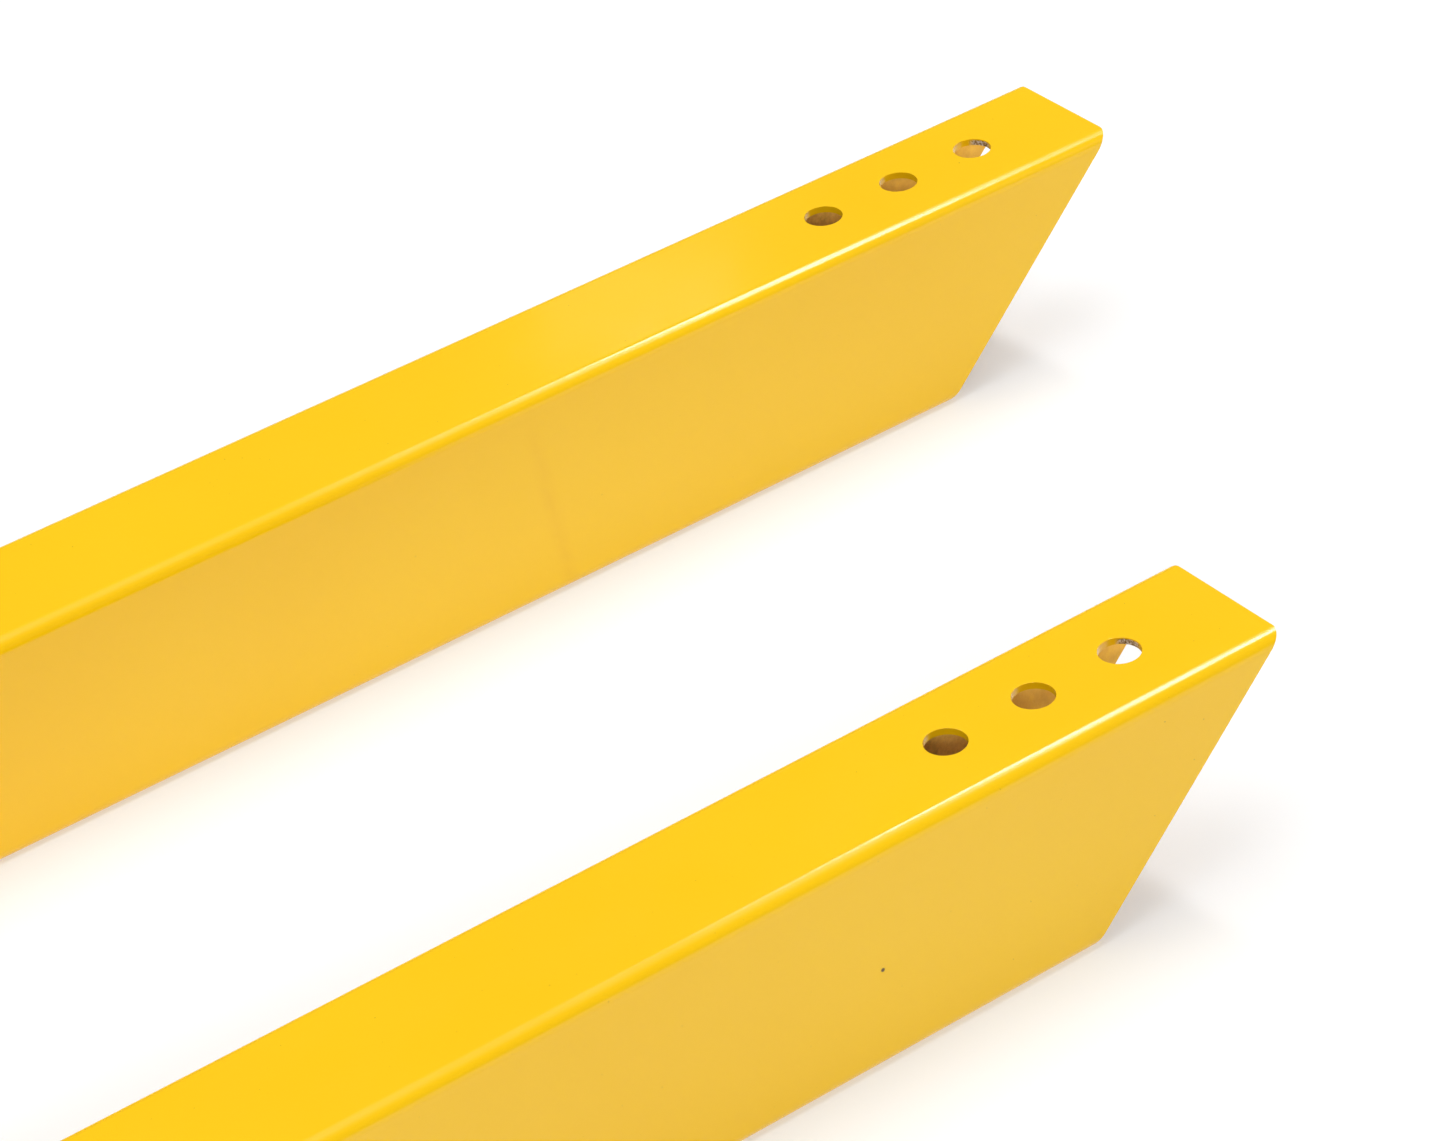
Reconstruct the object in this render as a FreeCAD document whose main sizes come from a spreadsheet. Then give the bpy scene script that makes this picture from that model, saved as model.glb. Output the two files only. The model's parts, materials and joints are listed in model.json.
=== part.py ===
"""Pair of clamp-on pallet forks joined by a telescoping stabiliser bar.

Frame: +X along the tines towards their tips, +Y from the near fork to the far one, +Z up.
The undersides of the tines lie at Z = 0.  Each fork is drawn in a fork frame whose origin is
below the top edge of its tip, midway across the tine, and is then placed.
"""
import FreeCAD, Part
import math
import os

import Sketcher
from FreeCAD import Placement, Rotation, Vector

DRIVING = {
    # tine: a 3 x 2 inch rectangular tube, its tip cut at 45 degrees
    "tine_length": 1092.2, "tine_width": 50.8, "tine_depth": 76.2,
    "tube_wall": 2.3, "tube_corner": 4.6, "rear_cap_thick": 4.0,
    "tip_hole_dia": 13.0, "tip_hole_first": 40.0, "tip_hole_pitch": 31.75, "tip_hole_count": 3,
    # where the two forks stand
    "fork_spacing": 263.96, "tip_stagger": 152.4,
    # clamp: two cheeks with a mouth for the bucket lip, open to the rear
    "cheek_thick": 8.0, "cheek_foot": 19.0, "mouth_height": 63.5, "mouth_front": 832.0,
    "cheek_tail": 1076.0, "web_width": 90.0, "web_slope": 40.0, "arm_depth": 50.8,
    "arm_tail": 985.0, "cheek_radius": 12.0, "mouth_radius": 6.0, "lip_stop_thick": 10.0,
    "bridge_thick": 19.0, "bridge_drop": 6.0, "bridge_length": 110.0,
    # clamp screw, M24 x 3
    "screw_back": 930.0, "screw_dia": 24.0, "screw_gap": 0.08, "nut_flats": 36.0,
    "nut_height": 22.0, "bridge_hole_dia": 26.0, "pad_gap": 30.0, "pad_dia": 48.0,
    "pad_thick": 12.0, "boss_dia": 36.0, "boss_height": 11.0, "spigot_dia": 18.0,
    "spigot_length": 19.5, "socket_floor": 4.5, "groove_depth": 1.6, "pad_edge": 1.0,
    "pad_shoulder": 2.0, "ring_wire": 1.6, "ring_width": 2.45, "ring_seat": 1.2, "ring_split": 3.0,
    "screw_shank": 110.5, "shank_bevel": 1.5, "head_dia": 36.0, "head_height": 32.0, "head_bevel": 3.0,
    # tee bar
    "tee_dia": 12.7, "tee_length": 200.0, "tee_gap": 0.35, "tee_turn": 25.0,
    "knob_dia": 22.0, "knob_length": 20.0, "knob_round": 5.0, "knob_cap": 2.0,
    # bracket for the stabiliser bar, and its pin and clip
    "bracket_back": 714.0, "ear_thick": 8.0, "ear_width": 40.0, "ear_reach": 28.0,
    "eye_thick": 12.0, "eye_gap": 0.5, "pin_dia": 12.7, "pin_gap": 0.05, "pin_drop": 31.0,
    "pin_head_dia": 22.0, "pin_head_thick": 6.0, "pin_bevel": 1.5, "clip_wire": 3.0,
    "clip_height": 12.0, "clip_hole_gap": 0.4, "clip_clear": 0.4, "clip_tail": 14.0,
    "clip_reach": 26.0, "clip_loop": 6.0, "clip_bend": 5.0, "clip_rise": 40.0, "clip_run": 2.0,
    "clip_flare": 30.0, "clip_lip": 4.0,
    # stabiliser bar
    "sleeve_size": 38.1, "sleeve_wall": 3.0, "sleeve_length": 122.0, "bar_start": 26.0,
    "slider_size": 30.0, "slider_wall": 3.0, "slider_length": 140.0, "bar_corner": 3.5,
    "bar_cap_thick": 5.0, "eye_width": 30.0, "lock_bolt_dia": 10.0, "lock_flats": 17.0,
    "lock_nut_height": 8.0, "lock_head_height": 6.4, "lock_neck": 7.0, "lock_tip_gap": 0.4,
    "lock_hole_gap": 0.5,
    "lock_first": 88.0, "lock_pitch": 32.0, "lock_count": 2,
}


def derived(cells):
    """Work out the sizes that follow from the driving ones."""
    half_length = (cells["tine_length"] + cells["tip_stagger"]) / 2
    pin_offset = cells["tine_width"] / 2 + cells["ear_reach"]
    across = cells["fork_spacing"] - 2 * pin_offset
    arm_low = cells["tine_depth"] + cells["mouth_height"]
    arm_top = arm_low + cells["arm_depth"]
    pad_low = cells["tine_depth"] + cells["pad_gap"]
    screw_low = pad_low + cells["socket_floor"]
    shank_low = screw_low + cells["spigot_length"]
    bridge_top = arm_top - cells["bridge_drop"]
    head_low = shank_low + cells["screw_shank"]
    return {
        "far_tip_x": half_length,
        "near_tip_x": half_length - cells["tip_stagger"],
        "far_y": cells["fork_spacing"] / 2,
        "near_y": -cells["fork_spacing"] / 2,
        "pin_offset": pin_offset,
        "bar_reach": math.hypot(across, cells["tip_stagger"]),
        "bar_heading": -90.0 - math.degrees(math.atan2(cells["tip_stagger"], across)),
        "bar_level": cells["tine_depth"] / 2,
        "arm_low": arm_low,
        "arm_top": arm_top,
        "bridge_top": bridge_top,
        "bridge_low": bridge_top - cells["bridge_thick"],
        "pad_low": pad_low,
        "screw_low": screw_low,
        "shank_low": shank_low,
        "head_low": head_low,
        "head_top": head_low + cells["head_height"],
        "tee_level": head_low + cells["head_height"] / 2,
    }


size = dict(DRIVING)
size.update(derived(DRIVING))
doc = FreeCAD.newDocument("clamp_on_forks")
nodes = []


def fill_sheet():
    """Write every named size into the spreadsheet."""
    sheet = doc.addObject("Spreadsheet::Sheet", "Sizes")
    for row, (name, number) in enumerate(size.items(), start=1):
        sheet.set(f"A{row}", name)
        sheet.set(f"B{row}", repr(float(number)))
        sheet.setAlias(f"B{row}", name)
    doc.recompute()


# ---- sums of cells, written as text such as "tine_depth + 0.5*tube_wall - pad_gap" ----

def terms(text):
    """Each (factor, cell name or number) of a sum."""
    sign = 1.0
    for word in text.split():
        if word in ("+", "-"):
            sign = 1.0 if word == "+" else -1.0
            continue
        factor, _, name = word.rpartition("*")
        yield sign * float(factor or 1.0), name


def value(text):
    """What a sum comes to, in millimetres or degrees."""
    return sum(factor * (size[name] if name in size else float(name)) for factor, name in terms(text))


def formula(text):
    """The same sum as an expression on the sheet's cells."""
    cells = ((factor, f"Sizes.{name}" if name in size else name) for factor, name in terms(text))
    return " + ".join(f"{factor!r} * {cell}" for factor, cell in cells)


def bind(thing, **sums):
    """Tie properties to cells: bind(box, Length="tine_length", Placement_Base_x="- tube_wall")."""
    for name, text in sums.items():
        thing.setExpression(name.replace("_", "."), formula(text))


def turn(thing, heading, axis=Vector(0, 0, 1)):
    """Turn a piece about an axis by an angle held in a cell."""
    thing.Placement = Placement(Vector(), Rotation(axis, value(heading)))
    thing.setExpression("Placement.Rotation.Angle", f"({formula(heading)}) * 1 deg")


def node(thing, name):
    thing.Label = name
    nodes.append(thing)
    return thing


# ---- primitives and booleans ----

def box(name, length, width, height, at):
    """A block with its low corner at the three sums in at."""
    piece = doc.addObject("Part::Box", name)
    bind(piece, Length=length, Width=width, Height=height)
    bind(piece, Placement_Base_x=at[0], Placement_Base_y=at[1], Placement_Base_z=at[2])
    return piece


AXES = {"z": Rotation(), "x": Rotation(Vector(0, 1, 0), 90), "y": Rotation(Vector(1, 0, 0), -90)}


def rod(name, diameter, length, at, axis="z", kind="Part::Cylinder"):
    """A cylinder or hexagonal prism along an axis, from the point at."""
    piece = doc.addObject(kind, name)
    if kind == "Part::Prism":
        piece.Polygon = 6
        piece.setExpression("Circumradius", f"({formula(diameter)}) / sqrt(3)")
    else:
        piece.setExpression("Radius", f"({formula(diameter)}) / 2")
    bind(piece, Height=length)
    piece.Placement = Placement(Vector(*(value(each) for each in at)), AXES[axis])
    bind(piece, Placement_Base_x=at[0], Placement_Base_y=at[1], Placement_Base_z=at[2])
    return piece


def cut(name, base, tool):
    piece = doc.addObject("Part::Cut", name)
    piece.Base, piece.Tool = base, tool
    return piece


def fuse(name, pieces):
    piece = doc.addObject("Part::MultiFuse", name)
    piece.Shapes = pieces
    return piece


def group(name, pieces):
    """Separate solids that share one node."""
    piece = doc.addObject("Part::Compound", name)
    piece.Links = pieces
    return piece


# ---- bodies drawn with sketches ----

def new_sketch(body, name, plane):
    sketch = body.newObject("Sketcher::SketchObject", name)
    support = next(each for each in body.Origin.OriginFeatures if each.Role == plane)
    sketch.AttachmentSupport = [(support, "")]
    sketch.MapMode = "FlatFace"
    return sketch


def pin_point(sketch, line, end, label, point):
    """Hold one end of a line at two sums measured from the sketch's origin."""
    for kind, text in zip(("DistanceX", "DistanceY"), point):
        index = sketch.addConstraint(Sketcher.Constraint(kind, -1, 1, line, end, value(text)))
        sketch.renameConstraint(index, f"{label}{kind[-1]}")
        sketch.setExpression(f"Constraints.{label}{kind[-1]}", formula(text))


def draw_outline(sketch, points):
    """A closed outline of straight sides through points given as pairs of sums."""
    places = [Vector(value(x), value(y), 0) for x, y in points]
    first = sketch.GeometryCount
    count = len(places)
    for index in range(count):
        side = Part.LineSegment(places[index], places[(index + 1) % count])
        sketch.addGeometry(side, False)
    for index in range(count):
        following = first + (index + 1) % count
        sketch.addConstraint(Sketcher.Constraint("Coincident", first + index, 2, following, 1))
        pin_point(sketch, first + index, 1, f"point{first + index}", points[index])


def draw_circle(sketch, diameter, centre):
    ring = sketch.addGeometry(Part.Circle(Vector(value(centre[0]), value(centre[1]), 0),
                                          Vector(0, 0, 1), value(diameter) / 2), False)
    index = sketch.addConstraint(Sketcher.Constraint("Diameter", ring, value(diameter)))
    sketch.renameConstraint(index, f"across{ring}")
    sketch.setExpression(f"Constraints.across{ring}", formula(diameter))
    pin_point(sketch, ring, 3, f"centre{ring}", centre)


def pad(body, sketch, name, length, middle=False):
    feature = body.newObject("PartDesign::Pad", name)
    feature.Profile = sketch
    feature.Midplane = middle
    bind(feature, Length=length)
    return feature


def pocket(body, sketch, name, length, middle=False, reverse=False):
    feature = body.newObject("PartDesign::Pocket", name)
    feature.Profile = sketch
    feature.Midplane = middle
    feature.Reversed = reverse
    bind(feature, Length=length)
    return feature


def spin(body, sketch, name):
    """Revolve a half profile, drawn right of the sketch's upright axis."""
    feature = body.newObject("PartDesign::Revolution", name)
    feature.Profile = sketch
    feature.ReferenceAxis = (sketch, ["V_Axis"])
    feature.Angle = 360.0
    return feature


def edges_where(feature, test):
    doc.recompute()
    found = []
    for index, edge in enumerate(feature.Shape.Edges, start=1):
        if test(edge):
            found.append(f"Edge{index}")
    if not found:
        raise RuntimeError(f"{feature.Name}: no edge to round")
    return found


def round_edges(body, feature, name, radius, test, kind="PartDesign::Fillet"):
    names = edges_where(feature, test)
    smooth = body.newObject(kind, name)
    smooth.Base = (feature, names)
    bind(smooth, **{"Size" if kind.endswith("Chamfer") else "Radius": radius})
    return smooth


def runs_along(axis):
    """True for straight edges parallel to an axis."""
    def test(edge):
        if edge.Curve.TypeId != "Part::GeomLine":
            return False
        return abs(edge.Curve.Direction.dot(axis)) > 0.9999
    return test


def near_point(axis, x, z, reach=1.0):
    """True for straight edges along an axis that pass near a point of the XZ plane."""
    along = runs_along(axis)

    def test(edge):
        middle = edge.CenterOfMass
        return along(edge) and math.hypot(middle.x - x, middle.z - z) < reach
    return test


def removes(before, after):
    """Stop if a pocket cut nothing."""
    doc.recompute()
    if after.Shape.Volume > before.Shape.Volume - 1.0:
        raise RuntimeError(f"{after.Name} removed nothing")


X, Y, Z = Vector(1, 0, 0), Vector(0, 1, 0), Vector(0, 0, 1)


def square_tube(body, width, depth, wall, corner, length, low):
    """A rectangular tube along X, from x = 0 forward; low is the height of its underside."""
    ring = new_sketch(body, "Section", "YZ_Plane")
    for inset in ("0.0", wall):
        half = f"0.5*{width} - {inset}"
        minus = f"-0.5*{width} + {inset}"
        bottom, top = f"{low} + {inset}", f"{low} + {depth} - {inset}"
        draw_outline(ring, [(minus, bottom), (half, bottom), (half, top), (minus, top)])
    tube = pad(body, ring, "Tube", length)
    outer = value(f"0.5*{width}") - 0.01

    def outside(edge):
        return runs_along(X)(edge) and abs(edge.CenterOfMass.y) > outer

    def inside(edge):
        return runs_along(X)(edge) and abs(edge.CenterOfMass.y) < outer
    rounded = round_edges(body, tube, "OuterCorners", corner, outside)
    return round_edges(body, rounded, "InnerCorners", f"{corner} - {wall}", inside)


# ---- the pieces of one fork, in the fork frame ----

def make_tine(side):
    """Rectangular tube, tip cut at 45 degrees, three round holes in the top near the tip."""
    body = doc.addObject("PartDesign::Body", f"{side}_tine_body")
    tube = square_tube(body, "tine_width", "tine_depth", "tube_wall", "tube_corner", "tine_length", "0.0")
    slant = new_sketch(body, "TipCut", "XZ_Plane")
    draw_outline(slant, [
        ("tine_length - tine_depth - tine_width", "- tine_width"),
        ("tine_length + tine_width", "- tine_width"),
        ("tine_length + tine_width", "tine_depth + tine_width"),
    ])
    tip = pocket(body, slant, "SlantedTip", "4*tine_width", middle=True)
    removes(tube, tip)
    drill = new_sketch(body, "TipHole", "XY_Plane")
    draw_circle(drill, "tip_hole_dia", ("tine_length - tip_hole_first", "0.0"))
    drill.AttachmentOffset = Placement(Vector(0, 0, value("tine_depth - 2*tube_wall")), Rotation())
    drill.setExpression("AttachmentOffset.Base.z", formula("tine_depth - 2*tube_wall"))
    hole = pocket(body, drill, "Hole", "3*tube_wall", reverse=True)
    removes(tip, hole)
    row = body.newObject("PartDesign::LinearPattern", "TipHoles")
    row.Originals = [hole]
    row.Direction = (drill, ["H_Axis"])
    row.Reversed = True
    row.Occurrences = int(size["tip_hole_count"])
    bind(row, Length="2*tip_hole_pitch")
    body.Tip = row
    removes(hole, row)
    return node(body, f"{side}_tine_tube")


def make_rear_cap(side):
    """Plate welded inside the rear end of the tube."""
    body = doc.addObject("PartDesign::Body", f"{side}_cap_body")
    face = new_sketch(body, "Face", "YZ_Plane")
    minus, half = "-0.5*tine_width + tube_wall", "0.5*tine_width - tube_wall"
    top = "tine_depth - tube_wall"
    draw_outline(face, [(minus, "tube_wall"), (half, "tube_wall"), (half, top), (minus, top)])
    plate = pad(body, face, "Plate", "rear_cap_thick")
    round_edges(body, plate, "Corners", "tube_corner - tube_wall", runs_along(X))
    return node(body, f"{side}_rear_cap")


def make_cheek(side, place):
    """C-shaped clamp cheek: a long foot on the tine, a web, and an arm over the mouth."""
    body = doc.addObject("PartDesign::Body", f"{side}_{place}_cheek_body")
    face = new_sketch(body, "Outline", "XZ_Plane")
    web_front = "- mouth_front + web_width"
    outline = [
        ("- cheek_tail", "cheek_foot"), (web_front, "cheek_foot"), (web_front, "tine_depth"),
        (f"{web_front} - web_slope", "arm_top"), ("- arm_tail", "arm_top"),
        ("- arm_tail", "arm_low"), ("- mouth_front", "arm_low"), ("- mouth_front", "tine_depth"),
        ("- cheek_tail", "tine_depth"),
    ]
    draw_outline(face, outline)
    plate = pad(body, face, "Plate", "cheek_thick", middle=True)
    inner = [near_point(Y, value(x), value(z)) for x, z in (outline[6], outline[7])]
    outer = [near_point(Y, value(x), value(z)) for x, z in (outline[2], outline[3], outline[4])]
    mouth = round_edges(body, plate, "MouthCorners", "mouth_radius",
                        lambda edge: any(test(edge) for test in inner))
    round_edges(body, mouth, "OuterCorners", "cheek_radius",
                lambda edge: any(test(edge) for test in outer))
    return node(body, f"{side}_{place}_cheek")


def make_lip_stop(side):
    """Cross plate at the front of the mouth, between the cheeks: the bucket lip meets it."""
    plate = box(f"{side}_stop_plate", "lip_stop_thick", "tine_width", "bridge_low - tine_depth",
                ("- mouth_front", "-0.5*tine_width", "tine_depth"))
    return node(plate, f"{side}_lip_stop")


def make_bridge(side):
    """Thick bar between the two arms, drilled for the clamp screw."""
    bar = box(f"{side}_bridge_bar", "bridge_length", "tine_width", "bridge_thick",
              ("- screw_back - 0.5*bridge_length", "-0.5*tine_width", "bridge_low"))
    drill = rod(f"{side}_bridge_drill", "bridge_hole_dia", "2*bridge_thick",
                ("- screw_back", "0.0", "bridge_low - 0.5*bridge_thick"))
    return node(cut(f"{side}_bridge_cut", bar, drill), f"{side}_clamp_bridge")


def make_nut(side):
    """Hexagonal nut welded on the bridge; its thread takes the clamp screw."""
    foot = ("- screw_back", "0.0", "bridge_top")
    hexagon = rod(f"{side}_nut_hex", "nut_flats", "nut_height", foot, kind="Part::Prism")
    drill = rod(f"{side}_nut_drill", "screw_dia + 2*screw_gap", "nut_height", foot)
    return node(cut(f"{side}_nut_cut", hexagon, drill), f"{side}_clamp_nut")


def make_screw(side):
    """Clamp screw: grooved spigot in the pad, threaded shank, round head with a cross hole."""
    body = doc.addObject("PartDesign::Body", f"{side}_screw_body")
    half = new_sketch(body, "HalfProfile", "XZ_Plane")
    core, shank, head = "0.5*spigot_dia", "0.5*screw_dia", "0.5*head_dia"
    groove = "pad_low + pad_thick + 0.5*boss_height"
    neck = f"{core} - groove_depth"
    draw_outline(half, [
        ("0.0", "screw_low"), (core, "screw_low"), (core, f"{groove} - ring_wire"),
        (neck, f"{groove} - ring_wire"), (neck, f"{groove} + ring_wire"),
        (core, f"{groove} + ring_wire"), (core, "shank_low"), (f"{shank} - shank_bevel", "shank_low"),
        (shank, "shank_low + shank_bevel"), (shank, "head_low"), (f"{head} - head_bevel", "head_low"),
        (head, "head_low + head_bevel"), (head, "head_top - head_bevel"),
        (f"{head} - head_bevel", "head_top"), ("0.0", "head_top"),
    ])
    turned = spin(body, half, "Turned")
    cross = new_sketch(body, "CrossHole", "XZ_Plane")
    draw_circle(cross, "tee_dia + 2*tee_gap", ("0.0", "tee_level"))
    hole = pocket(body, cross, "TeeHole", "2*head_dia", middle=True)
    removes(turned, hole)
    return body


def make_tee_bar(side):
    start = ("0.0", "-0.5*tee_length", "tee_level")
    return group(f"{side}_tee_rod", [rod(f"{side}_tee_blank", "tee_dia", "tee_length", start, "y")])


def make_tee_knobs(side):
    """A rounded knob pressed on each end of the tee bar."""
    knobs = []
    for end, start, mouth in (("near", "-0.5*tee_length - knob_cap", "-0.5*tee_length"),
                              ("far", "0.5*tee_length + knob_cap - knob_length",
                               "0.5*tee_length + knob_cap - knob_length")):
        ball = rod(f"{side}_knob_{end}_ball", "knob_dia", "knob_length", ("0.0", start, "tee_level"), "y")
        smooth = doc.addObject("Part::Fillet", f"{side}_knob_{end}_round")
        smooth.Base = ball
        doc.recompute()
        rims = [index for index, edge in enumerate(ball.Shape.Edges, start=1)
                if edge.Curve.TypeId == "Part::GeomCircle"]
        smooth.Edges = [(index, size["knob_round"], size["knob_round"]) for index in rims]
        hole = rod(f"{side}_knob_{end}_hole", "tee_dia", "knob_length - knob_cap",
                   ("0.0", mouth, "tee_level"), "y")
        knobs.append(cut(f"{side}_knob_{end}", smooth, hole))
    return group(f"{side}_knob_pair", knobs)


def make_pad(side):
    """Swivel pressure pad: a disc with a boss that holds the screw's spigot."""
    body = doc.addObject("PartDesign::Body", f"{side}_pad_body")
    half = new_sketch(body, "HalfProfile", "XZ_Plane")
    disc, boss = "0.5*pad_dia", "0.5*boss_dia"
    socket = "0.5*spigot_dia + screw_gap"
    groove = "pad_low + pad_thick + 0.5*boss_height"
    top = "pad_low + pad_thick + boss_height"
    draw_outline(half, [
        ("0.0", "pad_low"), (f"{disc} - pad_edge", "pad_low"), (disc, "pad_low + pad_edge"),
        (disc, "pad_low + pad_thick - pad_shoulder"),
        (f"{disc} - pad_shoulder", "pad_low + pad_thick"), (boss, "pad_low + pad_thick"),
        (boss, f"{top} - pad_edge"), (f"{boss} - pad_edge", top),
        (socket, top), (socket, f"{groove} + 0.5*ring_wire"),
        (f"{socket} + ring_seat", f"{groove} + 0.5*ring_wire"),
        (f"{socket} + ring_seat", f"{groove} - 0.5*ring_wire"), (socket, f"{groove} - 0.5*ring_wire"),
        (socket, "screw_low"), ("0.0", "screw_low"),
    ])
    spin(body, half, "Turned")
    return node(body, f"{side}_pressure_pad")


def make_pad_ring(side):
    """Split wire ring that keeps the spigot in the pad."""
    middle = "pad_low + pad_thick + 0.5*boss_height"
    outer = "spigot_dia + 2*screw_gap + 2*ring_seat"
    low = ("- screw_back", "0.0", f"{middle} - 0.5*ring_wire")
    disc = rod(f"{side}_ring_disc", outer, "ring_wire", low)
    hole = rod(f"{side}_ring_hole", f"{outer} - 2*ring_width", "ring_wire", low)
    split = box(f"{side}_ring_gap", "spigot_dia", "ring_split", "ring_wire",
                ("- screw_back", "-0.5*ring_split", f"{middle} - 0.5*ring_wire"))
    ring = cut(f"{side}_ring_whole", disc, hole)
    return node(cut(f"{side}_ring_cut", ring, split), f"{side}_pad_ring")


def make_bracket(side):
    """Two ears welded to the tine's inner side, one above the bar's eye and one below it."""
    ears = []
    for ear, low in (("upper", "bar_level + 0.5*eye_thick + eye_gap"),
                     ("lower", "bar_level - 0.5*eye_thick - eye_gap - ear_thick")):
        plate = box(f"{side}_{ear}_plate", "ear_width", "ear_reach", "ear_thick",
                    ("-0.5*ear_width", "- ear_reach", low))
        nose = rod(f"{side}_{ear}_nose", "ear_width", "ear_thick", ("0.0", "0.0", low))
        drill = rod(f"{side}_{ear}_drill", "pin_dia + 2*pin_gap", "ear_thick", ("0.0", "0.0", low))
        ears.append(cut(f"{side}_{ear}_ear", fuse(f"{side}_{ear}_blank", [plate, nose]), drill))
    return group(f"{side}_ear_pair", ears)


def make_pin(side):
    """Headed pin through the ears and the bar's eye, cross-drilled low down for its clip."""
    body = doc.addObject("PartDesign::Body", f"{side}_pin_body")
    half = new_sketch(body, "HalfProfile", "XZ_Plane")
    shank, head = "0.5*pin_dia", "0.5*pin_head_dia"
    seat = "bar_level + 0.5*eye_thick + eye_gap + ear_thick"
    draw_outline(half, [
        ("0.0", "bar_level - pin_drop"), (f"{shank} - pin_bevel", "bar_level - pin_drop"),
        (shank, "bar_level - pin_drop + pin_bevel"), (shank, seat), (head, seat),
        (head, f"{seat} + pin_head_thick - pin_bevel"),
        (f"{head} - pin_bevel", f"{seat} + pin_head_thick"), ("0.0", f"{seat} + pin_head_thick"),
    ])
    turned = spin(body, half, "Turned")
    cross = new_sketch(body, "ClipHole", "YZ_Plane")
    draw_circle(cross, "clip_wire + 2*clip_hole_gap", ("0.0", "clip_height"))
    removes(turned, pocket(body, cross, "CrossHole", "3*pin_dia", middle=True))
    return body


def bent_wire(start, heading, moves, diameter):
    """A round wire in a level plane: straight runs, and arcs as (radius, degrees to the left)."""
    place, edges = start, []
    for first, degrees in moves:
        ahead = Vector(math.cos(heading), math.sin(heading), 0)
        if not degrees:
            end = place + ahead * first
            edges.append(Part.LineSegment(place, end).toShape())
        else:
            left = Vector(-ahead.y, ahead.x, 0) * math.copysign(first, degrees)
            centre = place + left
            swing = math.radians(degrees)
            points = [centre - Rotation(Z, math.degrees(swing) * part).multVec(left) for part in (0.5, 1)]
            end = points[1]
            edges.append(Part.Arc(place, points[0], end).toShape())
            heading += swing
        place = end
    ring = Part.Wire([Part.Circle(start, edges[0].tangentAt(0), diameter / 2).toShape()])
    return Part.Wire(edges).makePipeShell([ring], True, False)


def make_clip(side):
    """Spring clip: one leg through the pin, the other bent past it, joined by a loop."""
    wire, loop, bend = size["clip_wire"], size["clip_loop"], size["clip_bend"]
    rise, reach = size["clip_rise"], size["clip_reach"]
    beside = size["pin_dia"] / 2 + wire / 2 + size["clip_clear"]
    neck = math.degrees(math.acos((beside + 2 * loop) / (4 * loop)))
    crown = 4 * bend * math.sin(math.radians(rise))
    moves = [(size["clip_tail"] + reach, 0), (loop, -neck), (loop, 180.0 + 2 * neck), (loop, -neck)]
    moves += [(reach - crown / 2, 0), (bend, -rise), (bend, 2 * rise), (bend, -rise)]
    moves += [(size["clip_run"], 0), (bend, -size["clip_flare"]), (size["clip_lip"], 0)]
    clip = doc.addObject("Part::Feature", f"{side}_clip_wire")
    clip.Shape = bent_wire(Vector(-size["clip_tail"], 0, size["clip_height"]), 0.0, moves, wire)
    return clip


# ---- the stabiliser bar, drawn along X from the far pin ----

def make_bar_end(name, width, cap_low, eye_sign):
    """End plate and eye of one half of the bar; the eye's hole is eye_sign back from the plate."""
    plate = box(f"{name}_plate", "bar_cap_thick", width, width,
                (cap_low, f"-0.5*{width}", f"bar_level - 0.5*{width}"))
    cap = node(group(f"{name}_plate_set", [plate]), f"{name}_cap")
    low = "bar_level - 0.5*eye_thick"
    centre = "0.0" if eye_sign > 0 else "bar_reach"
    start = centre if eye_sign > 0 else f"{cap_low} + bar_cap_thick"
    arm = box(f"{name}_eye_arm", "bar_start - bar_cap_thick", "eye_width", "eye_thick",
              (start, "-0.5*eye_width", low))
    nose = rod(f"{name}_eye_nose", "eye_width", "eye_thick", (centre, "0.0", low))
    drill = rod(f"{name}_eye_drill", "pin_dia + 2*pin_gap", "eye_thick", (centre, "0.0", low))
    eye = cut(f"{name}_eye_cut", fuse(f"{name}_eye_blank", [arm, nose]), drill)
    node(eye, f"{name}_eye")
    return [cap, eye]


def make_lock_set():
    """Weld nuts on top of the sleeve and the bolts that grip the slider."""
    top = "bar_level + 0.5*sleeve_size"
    tip = "bar_level + 0.5*slider_size + lock_tip_gap"
    head = f"{top} + lock_nut_height + lock_neck"
    nuts, bolts, drills = [], [], []
    for index in range(int(size["lock_count"])):
        along = f"lock_first + {float(index)}*lock_pitch"
        blank = rod(f"lock_nut_hex_{index}", "lock_flats", "lock_nut_height", (along, "0.0", top),
                    kind="Part::Prism")
        drill = rod(f"lock_nut_drill_{index}", "lock_bolt_dia", "lock_nut_height", (along, "0.0", top))
        nuts.append(cut(f"lock_nut_{index}", blank, drill))
        length = "0.5*sleeve_size + lock_nut_height + lock_neck - 0.5*slider_size - lock_tip_gap"
        shank = rod(f"lock_shank_{index}", "lock_bolt_dia", length, (along, "0.0", tip))
        cap = rod(f"lock_cap_{index}", "lock_flats", "lock_head_height", (along, "0.0", head),
                  kind="Part::Prism")
        bolts.append(fuse(f"lock_bolt_{index}", [shank, cap]))
        drills.append(rod(f"sleeve_drill_{index}", "lock_bolt_dia + 2*lock_hole_gap", "2*sleeve_wall",
                          (along, "0.0", f"{top} - 1.5*sleeve_wall")))
    return [group("lock_nut_pair", nuts), group("lock_bolt_pair", bolts)], drills


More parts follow.
